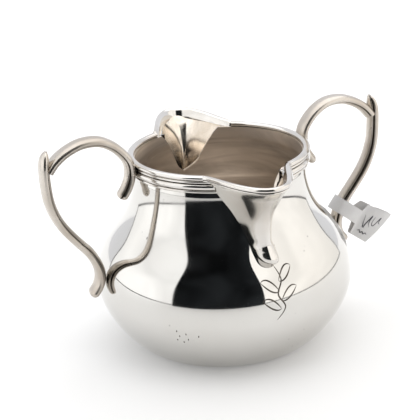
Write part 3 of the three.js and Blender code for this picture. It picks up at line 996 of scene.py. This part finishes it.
def build_sprig():
    """A generic sprig: a curling stem with small leaves."""
    lines = [through(SPRIG_STEM, np.linspace(0, 1, STROKE_STEPS))]
    for side, root_height in LEAVES:
        lines.extend(leaf_line(side, root_height, bow) for bow in LEAF_BOWS)
    mesh = Mesh()
    for line in lines:
        add_engraving(mesh, line + (0, SPRIG_HEIGHT), SPRIG_WIDTH)
    piece = mesh.build("engraved_sprig", [ENGRAVED])
    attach(piece, "vessel")


def build_pits():
    mesh = Mesh()
    for around, height in PITS:
        line = np.array([(around, height + rise) for rise in PIT_RISES])
        add_engraving(mesh, line, PIT_WIDTH)
    piece = mesh.build("belly_pits", [ENGRAVED])
    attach(piece, "vessel")


# ---- Stage ----

def plain(name, grey, glow=0.0):
    """A matt grey with no shine, which may glow a little."""
    look = Look(name, base_color=(grey, grey, grey, 1), roughness=0.8, specular_ior_level=0.0,
                emission_color=(*WHITE, 1), emission_strength=glow)
    return look.material


def glowing(name, color, strength, fall=0.0):
    """A light whose strength falls unevenly by the given share."""
    look = Look(name, base_color=(0, 0, 0, 1), emission_color=(*color, 1), specular_ior_level=0.0)
    patches = look.noise(2.2, detail=2, distortion=0.8)
    uneven = look.ramp(patches, 0.35, 0.65, start=(1 - fall) * strength, end=strength)
    look.link(uneven, look.shader.inputs["Emission Strength"])
    return look.material


def level_sheet(name, half, height, material):
    """A level square centred over the origin."""
    mesh = Mesh()
    mesh.add(np.array([[(x, y, height) for x in (-half, half)] for y in (-half, half)]))
    sheet = mesh.build(name, [material])
    return sheet


def studio_card(name, azimuths, heights, distance, material):
    """A curved card standing round the object, unseen by the camera but seen in the silver."""
    azimuth = np.radians(np.linspace(*azimuths, CARD_COLUMNS))[:, None]
    height = np.linspace(*heights, CARD_ROWS)[None, :]
    grid = np.stack([distance * np.cos(azimuth) + 0 * height,
                     distance * np.sin(azimuth) + 0 * height, height + 0 * azimuth], axis=-1)
    mesh = Mesh()
    mesh.add(grid, flip=True)
    card = mesh.build(name, [material])
    card.visible_camera = False


def build_cards():
    edge = plain("card_edge", FOOT_GREY)
    for name, azimuths, post, color, strength in PANELS:
        light = glowing(f"{name}_light", color, strength, PANEL_FALL)
        studio_card(f"{name}_panel", azimuths, (PANEL_FOOT, PANEL_TOP), PANEL_DISTANCE, light)
        # Painted shadow: a dark strip for the shaded gap where the panel meets the floor.
        studio_card(f"{name}_panel_foot", azimuths, (0, PANEL_FOOT), PANEL_DISTANCE, edge)
        studio_card(f"{name}_panel_post", post, (0, PANEL_TOP), PANEL_DISTANCE, edge)
    cloth = glowing("dark_cloth", DARK_CARD_COLOR, DARK_CARD_STRENGTH, DARK_CARD_FALL)
    studio_card("dark_card", DARK_CARD_AZIMUTHS, (0, DARK_CARD_TOP), DARK_CARD_DISTANCE, cloth)


def build_room():
    world = bpy.data.worlds.new("studio_room")
    world.use_nodes = True
    background = world.node_tree.nodes["Background"]
    background.inputs["Color"].default_value = ROOM_COLOR
    background.inputs["Strength"].default_value = ROOM_STRENGTH
    bpy.context.scene.world = world
    bpy.context.scene.view_settings.view_transform = "Standard"


def build_stage():
    level_sheet("floor", FLOOR_REACH, FLOOR_HEIGHT, plain("pale_floor", FLOOR_GREY, FLOOR_GLOW))
    build_cards()
    light = glowing("overhead_light", WHITE, OVERHEAD_STRENGTH)
    panel = level_sheet("overhead_panel", OVERHEAD_HALF, OVERHEAD_HEIGHT, light)
    panel.visible_camera = False
    build_room()


# ---- Camera ----

def build_camera():
    level = math.cos(CAMERA_ELEVATION)
    back = Vector((math.sin(CAMERA_AZIMUTH) * level, -math.cos(CAMERA_AZIMUTH) * level,
                   math.sin(CAMERA_ELEVATION)))
    right = Vector((math.cos(CAMERA_AZIMUTH), math.sin(CAMERA_AZIMUTH), 0))
    up = back.cross(right)
    rolled_right = right * math.cos(CAMERA_ROLL) + up * math.sin(CAMERA_ROLL)
    rolled_up = up * math.cos(CAMERA_ROLL) - right * math.sin(CAMERA_ROLL)
    data = bpy.data.cameras.new("camera")
    data.sensor_width = SENSOR_WIDTH
    data.lens = FOCAL_LENGTH
    camera = bpy.data.objects.new("camera", data)
    pose = Matrix((rolled_right, rolled_up, back)).transposed().to_4x4()
    pose.translation = (CAMERA_AIM + back * CAMERA_DISTANCE) * MM
    camera.matrix_world = pose
    bpy.context.scene.collection.objects.link(camera)
    bpy.context.scene.camera = camera


build_camera()
build_stage()
build_body()
build_sprig()
build_pits()
for place, turn in (("front", 0.0), ("back", HALF_TURN)):
    build_spout(f"{place}_lip_sheet", f"{place}_spout", turn)
    build_lip_wire(f"{place}_lip_bead", f"{place}_lip_wire", turn)
for side, turn in (("left", 0.0), ("right", HALF_TURN)):
    build_rim(side, turn)
    build_band(side, turn)
for side, turn in (("right", 0.0), ("left", HALF_TURN)):
    build_handle_piece(f"{side}_arch", f"{side}_handle_upper_scroll", ARCH_LINE, arch_size, turn)
    build_handle_piece(f"{side}_strap", f"{side}_handle_lower_scroll", STRAP_LINE, strap_size, turn)
build_label()
build_pen_strokes()
